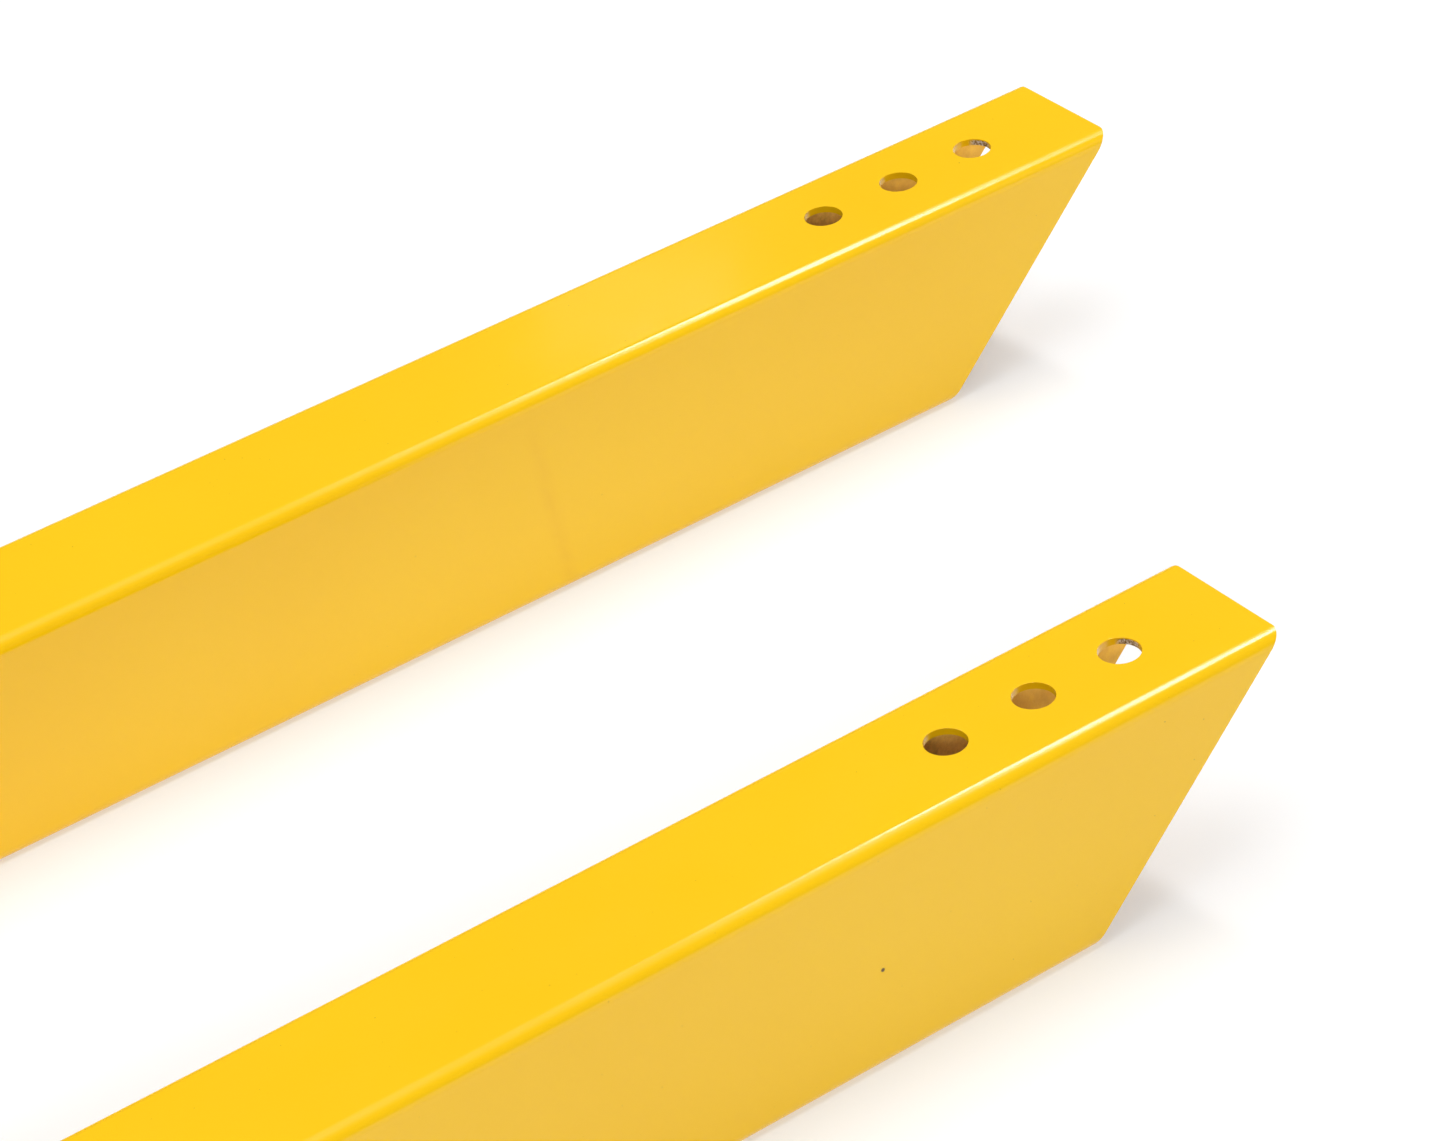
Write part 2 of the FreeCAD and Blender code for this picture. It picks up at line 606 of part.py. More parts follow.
def place_bar(thing, along=None):
    """Stand a piece of the bar on the far pin and turn it towards the near one."""
    turn(thing, "bar_heading")
    heading = math.radians(size["bar_heading"])
    base_x, base_y = "far_tip_x - bracket_back", "far_y - pin_offset"
    shift = value(along) if along else 0.0
    thing.Placement.Base = Vector(value(base_x) + shift * math.cos(heading),
                                  value(base_y) + shift * math.sin(heading), 0)
    if along:
        run = formula(along)
        angle = "(Sizes.bar_heading * 1 deg)"
        thing.setExpression("Placement.Base.x", f"{formula(base_x)} + ({run}) * cos({angle})")
        thing.setExpression("Placement.Base.y", f"{formula(base_y)} + ({run}) * sin({angle})")
    else:
        bind(thing, Placement_Base_x=base_x, Placement_Base_y=base_y)


def make_bar():
    """Sleeve, slider, their end plates and eyes, and the lock bolts."""
    body = doc.addObject("PartDesign::Body", "sleeve_body")
    square_tube(body, "sleeve_size", "sleeve_size", "sleeve_wall", "bar_corner", "sleeve_length",
                "bar_level - 0.5*sleeve_size")
    locks, drills = make_lock_set()
    place_bar(body, "bar_start")
    sleeve_holes = group("sleeve_drills", drills)
    place_bar(sleeve_holes)
    node(cut("sleeve_drilled", body, sleeve_holes), "bar_sleeve")
    slider = doc.addObject("PartDesign::Body", "slider_body")
    square_tube(slider, "slider_size", "slider_size", "slider_wall", "bar_corner", "slider_length",
                "bar_level - 0.5*slider_size")
    node(slider, "bar_slider")
    place_bar(slider, "bar_reach - bar_start - slider_length")
    ends = make_bar_end("sleeve", "sleeve_size", "bar_start - bar_cap_thick", 1)
    ends += make_bar_end("slider", "slider_size", "bar_reach - bar_start", -1)
    for thing in ends + locks:
        place_bar(thing)
    node(locks[0], "bar_lock_nuts")
    node(locks[1], "bar_lock_bolts")


# ---- assembling one fork ----

def place(thing, x, y, turned=None):
    """Put a piece at a point, turned about Z by an angle in a cell."""
    if turned:
        turn(thing, turned)
    thing.Placement.Base = Vector(value(x), value(y), thing.Placement.Base.z)
    bind(thing, Placement_Base_x=x, Placement_Base_y=y)


def make_fork(side, toward):
    """All the pieces of one fork; toward is the Y direction of the other fork."""
    tip, middle = f"{side}_tip_x", f"{side}_y"
    rear = f"{tip} - tine_length"
    place(make_tine(side), rear, middle)
    place(make_rear_cap(side), rear, middle)
    for name, sign in (("inner", toward), ("outer", -toward)):
        offset = f"{sign * 0.5}*tine_width + {sign * 0.5}*cheek_thick"
        place(make_cheek(side, name), tip, f"{middle} + {offset}")
    for make in (make_bridge, make_nut, make_pad_ring):
        place(make(side), tip, middle)
    stop = make_lip_stop(side)
    place(stop, f"{tip} - mouth_front", f"{middle} - 0.5*tine_width")
    screw_at = (f"{tip} - screw_back", middle)
    place(make_pad(side), *screw_at)
    heading = "tee_turn" if toward > 0 else "- tee_turn"
    place(node(make_screw(side), f"{side}_clamp_screw"), *screw_at, heading)
    place(node(make_tee_bar(side), f"{side}_tee_bar"), *screw_at, heading)
    place(node(make_tee_knobs(side), f"{side}_tee_knobs"), *screw_at, heading)
    pin_at = (f"{tip} - bracket_back", f"{middle} + {float(toward)}*pin_offset")
    bracket = node(make_bracket(side), f"{side}_bar_bracket")
    if toward < 0:
        bracket.Placement = Placement(Vector(), Rotation(Z, 180))
    place(bracket, *pin_at)
    place(node(make_pin(side), f"{side}_bar_pin"), *pin_at)
    clip = node(make_clip(side), f"{side}_pin_clip")
    place(clip, *pin_at)


def check_and_write():
    """Refuse a failed or invalid piece, then write each node's solids to its own file."""
    doc.recompute()
    faults = [each.Name for each in doc.Objects if "Invalid" in each.State or "Error" in each.State]
    for each in nodes:
        if each.Shape.isNull() or not each.Shape.isValid() or not each.Shape.Solids:
            faults.append(each.Label)
    if faults:
        raise RuntimeError(f"failed pieces: {faults}")
    os.makedirs("parts", exist_ok=True)
    for each in nodes:
        each.Shape.exportStep(f"parts/{each.Label}.step")
        low, high = each.Shape.BoundBox.ZMin, each.Shape.BoundBox.ZMax
        print(f"{each.Label}: {len(each.Shape.Solids)} solid(s), {each.Shape.Volume / 1000:.1f} cm3, "
              f"z {low:.1f} to {high:.1f}")


fill_sheet()
make_fork("far", -1)
make_fork("near", 1)
make_bar()
check_and_write()
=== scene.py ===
"""Clamp-on pallet fork pair on a pale studio floor: looks, welds, threads, camera and lights."""
import json
import math

import bmesh
import bpy
from mathutils import Matrix, Vector


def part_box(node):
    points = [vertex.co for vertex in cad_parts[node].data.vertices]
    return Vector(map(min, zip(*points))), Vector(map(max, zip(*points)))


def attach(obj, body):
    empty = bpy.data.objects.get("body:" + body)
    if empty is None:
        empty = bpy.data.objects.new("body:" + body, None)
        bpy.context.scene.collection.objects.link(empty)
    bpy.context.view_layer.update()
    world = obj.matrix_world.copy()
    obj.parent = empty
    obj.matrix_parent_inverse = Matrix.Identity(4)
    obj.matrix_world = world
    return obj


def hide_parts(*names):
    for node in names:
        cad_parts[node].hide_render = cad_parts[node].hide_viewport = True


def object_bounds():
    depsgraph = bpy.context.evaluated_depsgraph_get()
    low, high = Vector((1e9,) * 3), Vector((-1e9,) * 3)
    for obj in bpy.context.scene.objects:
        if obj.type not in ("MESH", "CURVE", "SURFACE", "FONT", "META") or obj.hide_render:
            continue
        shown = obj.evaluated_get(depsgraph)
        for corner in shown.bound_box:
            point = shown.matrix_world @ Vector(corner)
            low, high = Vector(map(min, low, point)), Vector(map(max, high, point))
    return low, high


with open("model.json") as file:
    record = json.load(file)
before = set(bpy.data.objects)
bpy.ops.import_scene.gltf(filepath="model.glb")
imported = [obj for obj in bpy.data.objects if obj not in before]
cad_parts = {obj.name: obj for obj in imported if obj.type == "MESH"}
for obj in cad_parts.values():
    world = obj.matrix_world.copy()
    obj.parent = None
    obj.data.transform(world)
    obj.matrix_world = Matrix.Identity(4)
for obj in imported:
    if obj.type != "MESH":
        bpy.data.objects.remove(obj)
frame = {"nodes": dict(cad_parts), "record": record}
cad_low, cad_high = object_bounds()

MM = 0.001
SIDES = ("far", "near")
SLOTS = {entry["node"]: entry["material_slot"] for entry in frame["record"]["subparts"]}
X, Y, Z = Vector((1, 0, 0)), Vector((0, 1, 0)), Vector((0, 0, 1))


# ---------------------------------------------------------------- shader helpers

def new_material(name):
    material = bpy.data.materials.new(name)
    material.use_nodes = True
    tree = material.node_tree
    return material, tree, tree.nodes["Principled BSDF"]


def add(tree, kind, inputs=(), **settings):
    """A node with its settings and inputs; an input is a number, a colour or another socket."""
    made = tree.nodes.new(kind)
    for name, setting in settings.items():
        setattr(made, name, setting)
    for name, source in dict(inputs).items():
        if isinstance(source, bpy.types.NodeSocket):
            tree.links.new(source, made.inputs[name])
        else:
            made.inputs[name].default_value = source
    return made


def noise(tree, where, scale, detail=3.0, rough=0.5):
    inputs = {"Vector": where, "Scale": scale, "Detail": detail, "Roughness": rough}
    return add(tree, "ShaderNodeTexNoise", inputs).outputs["Fac"]


def ramp(tree, fac, stops):
    """A colour ramp from (position, colour) stops."""
    made = add(tree, "ShaderNodeValToRGB", {"Fac": fac})
    points = made.color_ramp.elements
    while len(points) < len(stops):
        points.new(0.5)
    for point, (place, colour) in zip(points, stops):
        point.position = place
        point.color = (*colour, 1.0)
    return made.outputs["Color"]


def grey(level):
    return (level, level, level)


def blend_colours(tree, fac, first, second, mode="MIX"):
    made = add(tree, "ShaderNodeMix", data_type="RGBA", blend_type=mode)
    for socket, source in ((made.inputs[0], fac), (made.inputs[6], first), (made.inputs[7], second)):
        if isinstance(source, bpy.types.NodeSocket):
            tree.links.new(source, socket)
        elif isinstance(source, tuple):
            socket.default_value = (*source, 1.0)
        else:
            socket.default_value = source
    return made.outputs[2]


def maths(tree, operation, first, second=0.0, third=0.0):
    made = add(tree, "ShaderNodeMath", {0: first, 1: second, 2: third}, operation=operation)
    return made.outputs[0]


def remap(tree, source, low, high, to_low, to_high):
    made = add(tree, "ShaderNodeMapRange", {"Value": source, "From Min": low, "From Max": high,
                                            "To Min": to_low, "To Max": to_high})
    return made.outputs["Result"]


def bump(tree, height, depth, under=None):
    """A bump whose depth is in metres; under is a bump that it adds to."""
    inputs = {"Height": height, "Distance": depth, "Strength": 1.0}
    if under is not None:
        inputs["Normal"] = under
    return add(tree, "ShaderNodeBump", inputs).outputs["Normal"]


# ---------------------------------------------------------------- materials

YELLOW, YELLOW_DEEP = (0.90, 0.55, 0.003), (0.885, 0.52, 0.0025)
# The second colour on the next line is the darker tone of the painted reflection streak on the far tine's
# side.
DUST, REFLECTION_STREAK_TONE = (0.25, 0.13, 0.01), (0.72, 0.34, 0.004)
SPECK_COLOUR, NICK_COLOUR = (0.10, 0.045, 0.004), (0.95, 0.88, 0.62)

# Marks on the paint, placed in metres in the frame: a speck and an edge nick on the near tine and
# a bare patch on the wall of each tine's tip hole; also a darker streak on the far tine's side, which is a
# painted reflection.
DUST_SPECK, EDGE_NICK, MARK_REACH = (0.32033, -0.15738, 0.03427), (0.2665, -0.1568, 0.0758), 0.0008
BARE_PATCHES, PATCH_REACH = ((0.5884, 0.1347, 0.0745), (0.4360, -0.1292, 0.0745)), 0.0046
TINE_TOP = 0.0762
# Place and strength of the painted reflection: a darker leaning streak on the far tine's side.
REFLECTION_STREAK = {"at": 0.3883, "lean": 0.104, "half_width": 0.0042, "below": 0.071, "fade": 0.02,
            "past_y": 0.1, "strength": 0.18}


def spot(tree, where, centre, reach):
    """1 inside a small round spot, fading to 0 at its edge."""
    gap = add(tree, "ShaderNodeVectorMath", {0: where, 1: centre}, operation="DISTANCE").outputs["Value"]
    return remap(tree, gap, 0.6 * reach, reach, 1.0, 0.0)


def painted_reflection_streak(tree, where):
    """Painted reflection: a faint, darker leaning streak on the side of the far tine."""
    split = add(tree, "ShaderNodeSeparateXYZ", {"Vector": where})
    line = maths(tree, "MULTIPLY_ADD", split.outputs["Z"], REFLECTION_STREAK["lean"], split.outputs["X"])
    gap = maths(tree, "ABSOLUTE", maths(tree, "SUBTRACT", line, REFLECTION_STREAK["at"]))
    streak = remap(tree, gap, 0.0, REFLECTION_STREAK["half_width"], 1.0, 0.0)
    below = REFLECTION_STREAK["below"]
    on_side = remap(tree, split.outputs["Z"], below, below - REFLECTION_STREAK["fade"], 0.0, 1.0)
    on_far = maths(tree, "GREATER_THAN", split.outputs["Y"], REFLECTION_STREAK["past_y"])
    broken = remap(tree, noise(tree, where, 130.0), 0.3, 0.6, 0.4, 1.0)
    kept = maths(tree, "MULTIPLY", streak, on_side)
    return maths(tree, "MULTIPLY", kept, maths(tree, "MULTIPLY", on_far, broken))


def yellow_paint():
    """Glossy powder coat: orange peel, a slow drift of colour, dust under the coat, its marks, and a painted
    reflection streak.
    """
    material, tree, shader = new_material("yellow_powder_coat")
    where = add(tree, "ShaderNodeTexCoord").outputs["Object"]
    drift = noise(tree, where, 6.0, 2.0)
    colour = blend_colours(tree, remap(tree, drift, 0.35, 0.7, 0.0, 1.0), YELLOW, YELLOW_DEEP)
    specks = noise(tree, where, 900.0, 1.0)
    colour = blend_colours(tree, remap(tree, specks, 0.80, 0.84, 0.0, 0.5), colour, DUST)
    # Painted reflection: a darker streak mixed into the paint colour on the far tine's side.
    painted_streak = maths(tree, "MULTIPLY", painted_reflection_streak(tree, where), REFLECTION_STREAK["strength"])
    colour = blend_colours(tree, painted_streak, colour, REFLECTION_STREAK_TONE)
    colour = blend_colours(tree, spot(tree, where, DUST_SPECK, MARK_REACH), colour, SPECK_COLOUR)
    colour = blend_colours(tree, spot(tree, where, EDGE_NICK, MARK_REACH), colour, NICK_COLOUR)
    raw = ramp(tree, noise(tree, where, 1300.0, 4.0, 0.7), [
        (0.36, (0.16, 0.08, 0.015)), (0.5, (0.42, 0.30, 0.17)), (0.62, (0.80, 0.76, 0.70))])
    level = add(tree, "ShaderNodeSeparateXYZ", {"Vector": where}).outputs["Z"]
    in_hole = remap(tree, level, TINE_TOP - 0.0003, TINE_TOP - 0.0006, 0.0, 1.0)
    for centre in BARE_PATCHES:
        patch = maths(tree, "MULTIPLY", spot(tree, where, centre, PATCH_REACH), in_hole)
        colour = blend_colours(tree, patch, colour, raw)
    tree.links.new(colour, shader.inputs["Base Color"])
    gloss = noise(tree, where, 40.0, 4.0)
    tree.links.new(remap(tree, gloss, 0.3, 0.7, 0.16, 0.24), shader.inputs["Roughness"])
    peel = noise(tree, where, 420.0, 2.0, 0.45)
    waves = noise(tree, where, 110.0, 2.0, 0.4)
    normal = bump(tree, waves, 0.00006)
    tree.links.new(bump(tree, peel, 0.000022, normal), shader.inputs["Normal"])
    shader.inputs["Specular IOR Level"].default_value = 0.42
    shader.inputs["Coat Weight"].default_value = 0.2
    shader.inputs["Coat Roughness"].default_value = 0.08
    return material


def tube_inside(side, tip):
    """Inner walls of a tine: overspray fades inward from the open tip to bare, rusty brown steel."""
    material, tree, shader = new_material(f"{side}_tube_inside")
    where = add(tree, "ShaderNodeTexCoord").outputs["Object"]
    split = add(tree, "ShaderNodeSeparateXYZ", {"Vector": where})
    depth = maths(tree, "SUBTRACT", tip, split.outputs["X"])
    blotches = noise(tree, where, 160.0, 5.0, 0.65)
    reach = maths(tree, "MULTIPLY_ADD", blotches, 0.05, depth)
    fade = remap(tree, reach, 0.085, 0.150, 0.0, 1.0)
    overspray = ramp(tree, noise(tree, where, 240.0, 4.0, 0.6), [
        (0.3, (0.80, 0.47, 0.065)), (0.55, (0.90, 0.55, 0.08)), (0.75, (0.96, 0.62, 0.07))])
    bare = ramp(tree, noise(tree, where, 300.0, 5.0, 0.7), [
        (0.34, (0.13, 0.055, 0.012)), (0.5, (0.55, 0.28, 0.07)), (0.68, (0.86, 0.52, 0.16))])
    tree.links.new(blend_colours(tree, fade, overspray, bare), shader.inputs["Base Color"])
    shader.inputs["Roughness"].default_value = 0.72
    shader.inputs["Specular IOR Level"].default_value = 0.3
    grit = noise(tree, where, 700.0, 4.0, 0.7)
    normal = bump(tree, blotches, 0.0004)
    tree.links.new(bump(tree, grit, 0.00012, normal), shader.inputs["Normal"])
    return material


def plated(name, colour, rough, darker, scratch=0.5):
    """Metal with a slow cloud of tone, fine grain and light scratches."""
    material, tree, shader = new_material(name)
    where = add(tree, "ShaderNodeTexCoord").outputs["Object"]
    cloud = noise(tree, where, 45.0, 4.0, 0.6)
    tone = blend_colours(tree, remap(tree, cloud, 0.3, 0.75, 0.0, 1.0), colour, darker)
    tree.links.new(tone, shader.inputs["Base Color"])
    shader.inputs["Metallic"].default_value = 1.0
    stretched = add(tree, "ShaderNodeMapping", {"Vector": where, "Scale": (30.0, 30.0, 900.0)})
    grain = noise(tree, stretched.outputs["Vector"], 1.0, 3.0, 0.6)
    fine = noise(tree, where, 1300.0, 2.0)
    mixed = maths(tree, "MULTIPLY_ADD", grain, scratch, maths(tree, "MULTIPLY", fine, 1.0 - scratch))
    tree.links.new(remap(tree, mixed, 0.3, 0.7, rough * 0.75, rough * 1.35), shader.inputs["Roughness"])
    tree.links.new(bump(tree, mixed, 0.00003), shader.inputs["Normal"])
    return material


def oiled_black():
    """Black oxide with worn, brighter crests and an oily sheen."""
    material, tree, shader = new_material("black_oxide")
    where = add(tree, "ShaderNodeTexCoord").outputs["Object"]
    worn = noise(tree, where, 260.0, 5.0, 0.65)
    tone = ramp(tree, worn, [
        (0.35, (0.022, 0.022, 0.024)), (0.62, (0.05, 0.05, 0.052)), (0.8, (0.24, 0.23, 0.22))])
    tree.links.new(tone, shader.inputs["Base Color"])
    shader.inputs["Metallic"].default_value = 0.85
    tree.links.new(remap(tree, worn, 0.3, 0.7, 0.28, 0.45), shader.inputs["Roughness"])
    tree.links.new(bump(tree, worn, 0.00005), shader.inputs["Normal"])
    return material


def moulded_plastic():
    """Black plastic with a fine moulded grain."""
    material, tree, shader = new_material("moulded_black_plastic")
    where = add(tree, "ShaderNodeTexCoord").outputs["Object"]
    spark = noise(tree, where, 1600.0, 2.0)
    tone = blend_colours(tree, noise(tree, where, 50.0), (0.018, 0.018, 0.019), (0.034, 0.034, 0.036))
    tree.links.new(tone, shader.inputs["Base Color"])
    tree.links.new(remap(tree, spark, 0.3, 0.7, 0.42, 0.58), shader.inputs["Roughness"])
    tree.links.new(bump(tree, spark, 0.00006), shader.inputs["Normal"])
    return material


PAINT = yellow_paint()
FINISHES = {
    "yellow_paint": PAINT,
    "zinc_steel": plated("zinc_plate", (0.62, 0.63, 0.62), 0.3, (0.50, 0.50, 0.46)),
    "bare_steel": plated("bare_steel", (0.40, 0.385, 0.37), 0.4, (0.24, 0.21, 0.19)),
    "spring_steel": plated("drawn_wire", (0.58, 0.58, 0.57), 0.22, (0.44, 0.44, 0.42), 0.2),
    "black_oxide_steel": oiled_black(),
    "black_plastic": moulded_plastic(),
}


# ---------------------------------------------------------------- mesh helpers

def link(name, mesh, *materials):
    piece = bpy.data.objects.new(name, mesh)
    bpy.context.scene.collection.objects.link(piece)
    for material in materials:
        mesh.materials.append(material)
    return piece


def from_rings(name, rings, material, closed=False):
    """A skin through equally long closed rings of points, capped unless its last ring meets its first."""
    mesh = bmesh.new()
    loops = [[mesh.verts.new(point) for point in ring] for ring in rings]
    count = len(loops[0])
    pairs = list(zip(loops, loops[1:]))
    if closed:
        pairs.append((loops[-1], loops[0]))
    for low, high in pairs:
        for index in range(count):
            after = (index + 1) % count
            mesh.faces.new((low[index], low[after], high[after], high[index]))
    if not closed:
        mesh.faces.new(list(reversed(loops[0])))
        mesh.faces.new(loops[-1])
    bmesh.ops.recalc_face_normals(mesh, faces=mesh.faces)
    for face in mesh.faces:
        face.smooth = len(face.verts) == 4
    data = bpy.data.meshes.new(name)
    mesh.to_mesh(data)
    mesh.free()
    return link(name, data, material)


def apply_modifiers(piece):
    """Puts the piece's mesh with its modifiers applied in place of the old one."""
    bpy.context.view_layer.update()
    graph = bpy.context.evaluated_depsgraph_get()
    data = bpy.data.meshes.new_from_object(piece.evaluated_get(graph))
    piece.modifiers.clear()
    piece.data = data


WELD_GAP, EDGE_SEGMENTS = 2e-6, 3


def soften(piece, width, angle=35.0):
    """Weld split corners, round the sharp edges and keep the flats flat."""
    weld = piece.modifiers.new("weld", "WELD")
    weld.merge_threshold = WELD_GAP
    bevel = piece.modifiers.new("bevel", "BEVEL")
    bevel.width, bevel.segments = width, EDGE_SEGMENTS
    bevel.limit_method, bevel.angle_limit = "ANGLE", math.radians(angle)
    bevel.use_clamp_overlap = True
    bevel.harden_normals = True
    normals = piece.modifiers.new("normals", "WEIGHTED_NORMAL")
    normals.keep_sharp = True


def finish_piece(piece, body):
    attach(piece, body)


# ---------------------------------------------------------------- tines

CORNER_STEPS, HOLE_STEPS = 14, 72
TUBE_WALL, TUBE_CORNER, DRESSED_CORNER = 2.3 * MM, 4.6 * MM, 5.5 * MM
HOLE_RADIUS, HOLE_FIRST, HOLE_PITCH, HOLE_COUNT = 6.5 * MM, 40 * MM, 31.75 * MM, 3
CUT_OVER = 0.02
TINE_EDGE, TINE_EDGE_ANGLE = 0.45 * MM, 30.0


def rounded_loop(x, y, low, high, half, radius):
    """A rounded rectangle across a tine, at one x."""
    points = []
    for turn, (side, level) in enumerate(((1, 1), (-1, 1), (-1, -1), (1, -1))):
        middle_y = y + side * (half - radius)
        middle_z = (high - radius) if level > 0 else (low + radius)
        for step in range(CORNER_STEPS + 1):
            angle = math.pi / 2 * (turn + step / CORNER_STEPS)
            point_y = middle_y + radius * math.cos(angle)
            points.append(Vector((x, point_y, middle_z + radius * math.sin(angle))))
    return points


def hole_cutter(x, y, low, high):
    """A drill for one of the holes in a tine's top."""
    rings = []
    for z in (low, high):
        rings.append([Vector((x + HOLE_RADIUS * math.cos(2 * math.pi * step / HOLE_STEPS),
                              y + HOLE_RADIUS * math.sin(2 * math.pi * step / HOLE_STEPS), z))
                      for step in range(HOLE_STEPS)])
    return from_rings("drill", rings, None)


def wedge_cutter(low, high, y, half):
    """Takes the tip off along a 45 degree plane that leans under the top's end."""
    depth = high.z - low.z
    outline = ((high.x - depth - CUT_OVER, low.z - CUT_OVER), (high.x + 2 * depth, low.z - CUT_OVER),
               (high.x + 2 * depth, high.z + CUT_OVER), (high.x + CUT_OVER, high.z + CUT_OVER))
    ends = (y - 2 * half, y + 2 * half)
    return from_rings("wedge", [[Vector((x, end, z)) for x, z in outline] for end in ends], None)


def corner_cutter(tip, front, top, radius):
    """Takes the plan corner at the tip down to a radius."""
    over = 4 * radius
    outline = [(tip - radius, front - over), (tip + over, front - over), (tip + over, front + radius)]
    for turn in range(0, -91, -9):
        angle = math.radians(turn)
        outline.append((tip - radius + radius * math.cos(angle), front + radius + radius * math.sin(angle)))
    levels = (top - 3 * radius, top + over)
    return from_rings("dress", [[Vector((x, y, z)) for x, y in outline] for z in levels], None)


def subtract(piece, cutter):
    cut = piece.modifiers.new("cut", "BOOLEAN")
    cut.operation, cut.solver, cut.object = "DIFFERENCE", "EXACT", cutter
    apply_modifiers(piece)
    bpy.data.objects.remove(cutter)


def paint_tine(tine, side, low, high, y, half):
    """Paint outside and on the cut faces, and the inside finish on the inner walls."""
    tine.data.materials.clear()
    tine.data.materials.append(PAINT)
    tine.data.materials.append(tube_inside(side, high.x))
    slack = 0.1 * MM
    inner = half - TUBE_WALL + slack
    for face in tine.data.polygons:
        face.use_smooth = True
        centre = face.center
        deep = low.x + 1 * MM < centre.x < high.x - 1 * MM
        between_sides = abs(centre.y - y) < inner
        between_levels = low.z + TUBE_WALL - slack < centre.z < high.z - TUBE_WALL + slack
        slanted = abs(face.normal.x) > 0.5
        face.material_index = 1 if deep and between_sides and between_levels and not slanted else 0


def build_tine(side):
    """The tine as a fine mesh: smooth corners, clean round holes and paint-rounded edges."""
    low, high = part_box(f"{side}_tine_tube")
    y, half = (low.y + high.y) / 2, (high.y - low.y) / 2
    beyond = high.x + (high.z - low.z)
    rings = [rounded_loop(x, y, low.z, high.z, half, TUBE_CORNER) for x in (low.x, beyond)]
    rings += [rounded_loop(x, y, low.z + TUBE_WALL, high.z - TUBE_WALL, half - TUBE_WALL,
                           TUBE_CORNER - TUBE_WALL) for x in (beyond, low.x)]
    tine = from_rings(f"{side}_tine", rings, PAINT, closed=True)
    subtract(tine, wedge_cutter(low, high, y, half))
    if side == "far":
        subtract(tine, corner_cutter(high.x, low.y, high.z, DRESSED_CORNER))
    for index in range(HOLE_COUNT):
        x = high.x - HOLE_FIRST - index * HOLE_PITCH
        subtract(tine, hole_cutter(x, y, high.z - 3 * TUBE_WALL, high.z + CUT_OVER))
    paint_tine(tine, side, low, high, y, half)
    soften(tine, TINE_EDGE, TINE_EDGE_ANGLE)
    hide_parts(f"{side}_tine_tube")
    finish_piece(tine, f"{side}_fork")


# ---------------------------------------------------------------- weld beads

TOWARD = {"far": -1, "near": 1}  # the way along Y from each fork to the other
BEAD_STEPS, RIPPLE, SAMPLES, RIPPLE_LAG = 8, 0.0011, 5, 0.0009
FILLET, OVER_SEAM = 90.0, 180.0  # the arc that a bead's skin sweeps, in degrees
WANDER = ((0.06, 310, 7), (0.04, 790, 3))
WELD = {"cheek": 5 * MM, "stop": 4 * MM, "stop_foot": 4.5 * MM, "bridge": 4.5 * MM, "nut": 4 * MM,
        "cap": 2.4 * MM, "ear": 4 * MM, "ear_end": 3.5 * MM, "eye": 3 * MM, "lock_nut": 2.6 * MM,
        "sleeve_seam": 2.2 * MM, "slider_seam": 2 * MM}


def bead_path(spots, closed):
    """Close-set spots through the given ones."""
    path = []
    for (start, a0, b0), (end, a1, b1) in zip(spots, spots[1:] + ([spots[0]] if closed else [])):
        steps = max(2, round((end - start).length / (RIPPLE / SAMPLES)))
        path += [(start.lerp(end, step / steps), a0.lerp(a1, step / steps), b0.lerp(b1, step / steps))
                 for step in range(steps)]
    if not closed:
        path.append(spots[-1])
    return path


def bead_ring(spot, radius, swollen, run, seed, sweep):
    """One section of a bead: a sunk quarter round in a corner, or a flat half round over a seam."""
    corner, first, second = spot
    sunk = (first + second) * (-0.25 * radius if sweep == FILLET else 0.0)
    ring = [corner + sunk]
    for step in range(BEAD_STEPS + 1):
        angle = math.radians(sweep) * step / BEAD_STEPS
        phase = (run - RIPPLE_LAG * math.sin(math.pi * step / BEAD_STEPS)) / RIPPLE + seed
        scallop = abs(math.sin(math.pi * phase)) ** 0.7
        reach = swollen * (0.90 + 0.11 * scallop)
        if sweep == OVER_SEAM:
            flat = second * math.sin(angle) * 0.45
            ring.append(corner + (first * math.cos(angle) + flat) * reach)
        else:
            ring.append(corner + (first * math.cos(angle) + second * math.sin(angle)) * reach * 0.96)
    return ring


def weld_bead(spots, radius, seed, closed=False, sweep=FILLET):
    """A rippled bead along spots of (corner point, one face's direction, the other face's direction)."""
    path = bead_path(spots, closed)
    rings, run = [], 0.0
    for index, spot in enumerate(path):
        if index:
            run += (spot[0] - path[index - 1][0]).length
        to_end = min(index, len(path) - 1 - index) * RIPPLE / SAMPLES
        taper = 1.0 if closed else math.sqrt(min(1.0, 0.15 + to_end / (1.2 * radius)))
        wander = sum((size * math.sin(run * rate + seed * shift) for size, rate, shift in WANDER), 1)
        rings.append(bead_ring(spot, radius, radius * taper * wander, run, seed, sweep))
    return from_rings("bead", rings, PAINT, closed=closed)


def line_bead(start, end, first, second, radius, seed):
    """A straight fillet between two corner points."""
    return weld_bead([(Vector(start), first, second), (Vector(end), first, second)], radius, seed)


def joined(name, pieces, body, slot="yellow_paint"):
    """One piece made of several meshes."""
    mesh = bmesh.new()
    for piece in pieces:
        mesh.from_mesh(piece.data)
        bpy.data.objects.remove(piece)
    data = bpy.data.meshes.new(name)
    mesh.to_mesh(data)
    mesh.free()
    whole = link(name, data, FINISHES[slot])
    finish_piece(whole, body)
    return whole


